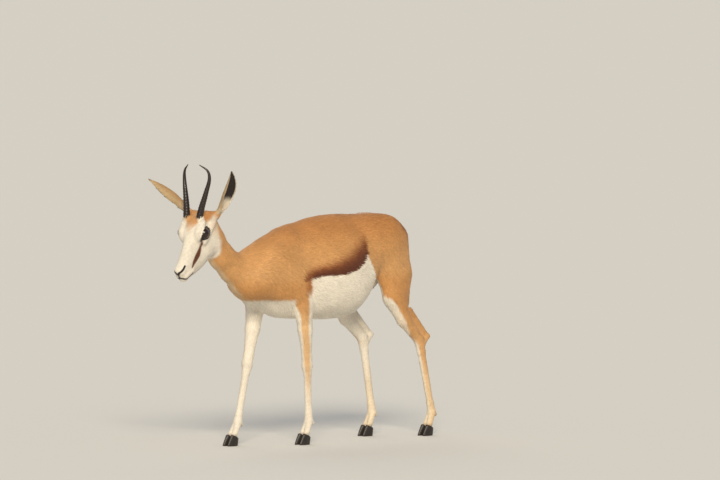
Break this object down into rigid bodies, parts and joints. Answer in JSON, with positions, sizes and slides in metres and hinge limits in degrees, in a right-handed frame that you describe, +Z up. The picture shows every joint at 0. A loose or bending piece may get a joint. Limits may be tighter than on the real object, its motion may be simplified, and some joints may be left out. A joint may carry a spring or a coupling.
{
  "type": "springbok",
  "caption": "Life-size standing antelope ewe with lyre-shaped horns, long ears, a slim neck turned a little to the left, and fine legs in mid-step.",
  "frame": {"origin": "middle of the whole model's bounding box, on the floor under the hooves", "axes": "+Z up; the animal faces -X; its left side is -Y"},
  "size_m": [1.124, 0.279, 0.9418],
  "materials": {
    "coat": "short matt hair, fawn above and white below",
    "eye": "wet gloss",
    "horn": "satin",
    "hoof": "satin"
  },
  "bodies": {
    "root": {"torso": "coat", "neck": "coat", "head": "coat", "tail": "coat", "ear_left": "coat", "ear_right": "coat", "foreleg_left": "coat", "foreleg_right": "coat", "hindleg_left": "coat", "hindleg_right": "coat", "eye_left": "eye", "eye_right": "eye", "horn_left": "horn", "horn_right": "horn", "forehoof_left_inner": "hoof", "forehoof_left_outer": "hoof", "forehoof_right_inner": "hoof", "forehoof_right_outer": "hoof", "hindhoof_left_inner": "hoof", "hindhoof_left_outer": "hoof", "hindhoof_right_inner": "hoof", "hindhoof_right_outer": "hoof"}
  },
  "joints": []
}
